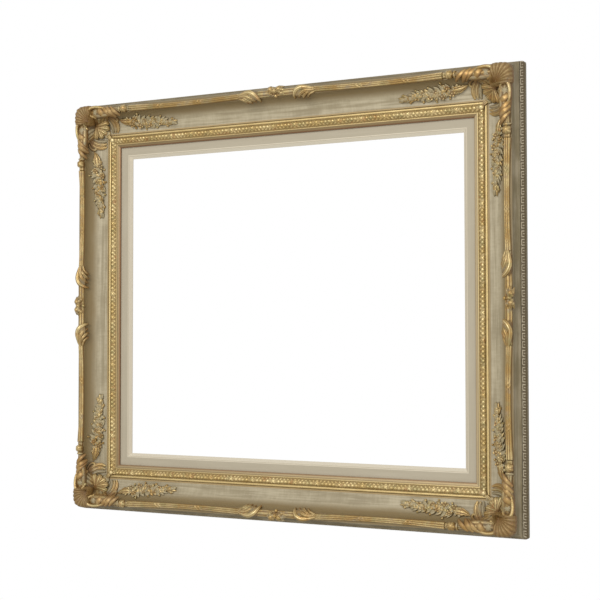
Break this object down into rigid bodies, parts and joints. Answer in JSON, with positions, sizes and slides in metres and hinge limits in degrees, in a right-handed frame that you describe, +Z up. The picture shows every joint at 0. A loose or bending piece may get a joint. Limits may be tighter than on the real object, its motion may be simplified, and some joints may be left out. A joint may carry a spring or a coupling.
{
  "type": "ornate gilded picture frame",
  "caption": "Swept rectangular picture frame with a hollow face, gilded leaf corners and sprays, a beaded slip, a bevelled liner, turn buttons for the picture and ring hangers.",
  "frame": {"origin": "centre of the sight opening, in the plane of the back that lies against the wall", "axes": "+Y out of the back toward the wall, the face looks along -Y, +Z up, +X to the right seen from the front"},
  "size_m": [0.778, 0.0597, 0.678],
  "materials": {
    "painted_wood": "aged cream paint, rubbed",
    "gilded_wood": "worn gold leaf over red clay",
    "gilded_cast": "worn gold leaf over red clay on cast composition",
    "painted_cast": "grey-green paint with rubbed edges on cast composition",
    "liner_paint": "matt cream paint",
    "steel": "zinc plated",
    "plated_steel": "brass plated"
  },
  "bodies": {
    "frame": {"top_rail": "painted_wood", "top_slip": "gilded_wood", "top_sight_ornament": "gilded_cast", "top_fret": "painted_cast", "top_liner": "liner_paint", "centre_top": "gilded_cast", "sweep_top_left": "gilded_cast", "spray_top_left": "gilded_cast", "sweep_top_right": "gilded_cast", "spray_top_right": "gilded_cast", "right_rail": "painted_wood", "right_slip": "gilded_wood", "right_sight_ornament": "gilded_cast", "right_fret": "painted_cast", "right_liner": "liner_paint", "centre_right": "gilded_cast", "sweep_right_upper": "gilded_cast", "spray_right_upper": "gilded_cast", "sweep_right_lower": "gilded_cast", "spray_right_lower": "gilded_cast", "bottom_rail": "painted_wood", "bottom_slip": "gilded_wood", "bottom_sight_ornament": "gilded_cast", "bottom_fret": "painted_cast", "bottom_liner": "liner_paint", "centre_bottom": "gilded_cast", "sweep_bottom_left": "gilded_cast", "spray_bottom_left": "gilded_cast", "sweep_bottom_right": "gilded_cast", "spray_bottom_right": "gilded_cast", "left_rail": "painted_wood", "left_slip": "gilded_wood", "left_sight_ornament": "gilded_cast", "left_fret": "painted_cast", "left_liner": "liner_paint", "centre_left": "gilded_cast", "sweep_left_upper": "gilded_cast", "spray_left_upper": "gilded_cast", "sweep_left_lower": "gilded_cast", "spray_left_lower": "gilded_cast", "corner_top_left": "gilded_cast", "corner_top_right": "gilded_cast", "corner_bottom_left": "gilded_cast", "corner_bottom_right": "gilded_cast", "mitre_v_nails": "steel", "turn_button_screws": "steel", "hanger_screws": "steel", "hanger_strap_left": "plated_steel", "hanger_strap_right": "plated_steel"},
    "turn_button_top_left": {"turn_button_top_left": "plated_steel"},
    "turn_button_top_right": {"turn_button_top_right": "plated_steel"},
    "turn_button_bottom_left": {"turn_button_bottom_left": "plated_steel"},
    "turn_button_bottom_right": {"turn_button_bottom_right": "plated_steel"},
    "turn_button_left": {"turn_button_left": "plated_steel"},
    "turn_button_right": {"turn_button_right": "plated_steel"},
    "ring_left": {"hanger_ring_left": "plated_steel"},
    "ring_right": {"hanger_ring_right": "plated_steel"}
  },
  "joints": [
    {"name": "turn_button_top_left_turn", "type": "hinge", "parent": "frame", "child": "turn_button_top_left", "pos_m": [-0.15, -0.005, 0.281], "axis": [0, 1, 0], "range_deg": [0, 180]},
    {"name": "turn_button_top_right_turn", "type": "hinge", "parent": "frame", "child": "turn_button_top_right", "pos_m": [0.15, -0.005, 0.281], "axis": [0, 1, 0], "range_deg": [0, 180]},
    {"name": "turn_button_bottom_left_turn", "type": "hinge", "parent": "frame", "child": "turn_button_bottom_left", "pos_m": [-0.15, -0.005, -0.281], "axis": [0, 1, 0], "range_deg": [0, 180]},
    {"name": "turn_button_bottom_right_turn", "type": "hinge", "parent": "frame", "child": "turn_button_bottom_right", "pos_m": [0.15, -0.005, -0.281], "axis": [0, 1, 0], "range_deg": [0, 180]},
    {"name": "turn_button_left_turn", "type": "hinge", "parent": "frame", "child": "turn_button_left", "pos_m": [-0.331, -0.005, 0], "axis": [0, 1, 0], "range_deg": [0, 180]},
    {"name": "turn_button_right_turn", "type": "hinge", "parent": "frame", "child": "turn_button_right", "pos_m": [0.331, -0.005, 0], "axis": [0, 1, 0], "range_deg": [0, 180]},
    {"name": "ring_left_swing", "type": "hinge", "parent": "frame", "child": "ring_left", "pos_m": [-0.351, -0.00342, 0.15], "axis": [1, 0, 0], "range_deg": [0, 175]},
    {"name": "ring_right_swing", "type": "hinge", "parent": "frame", "child": "ring_right", "pos_m": [0.351, -0.00342, 0.15], "axis": [1, 0, 0], "range_deg": [0, 175]}
  ]
}
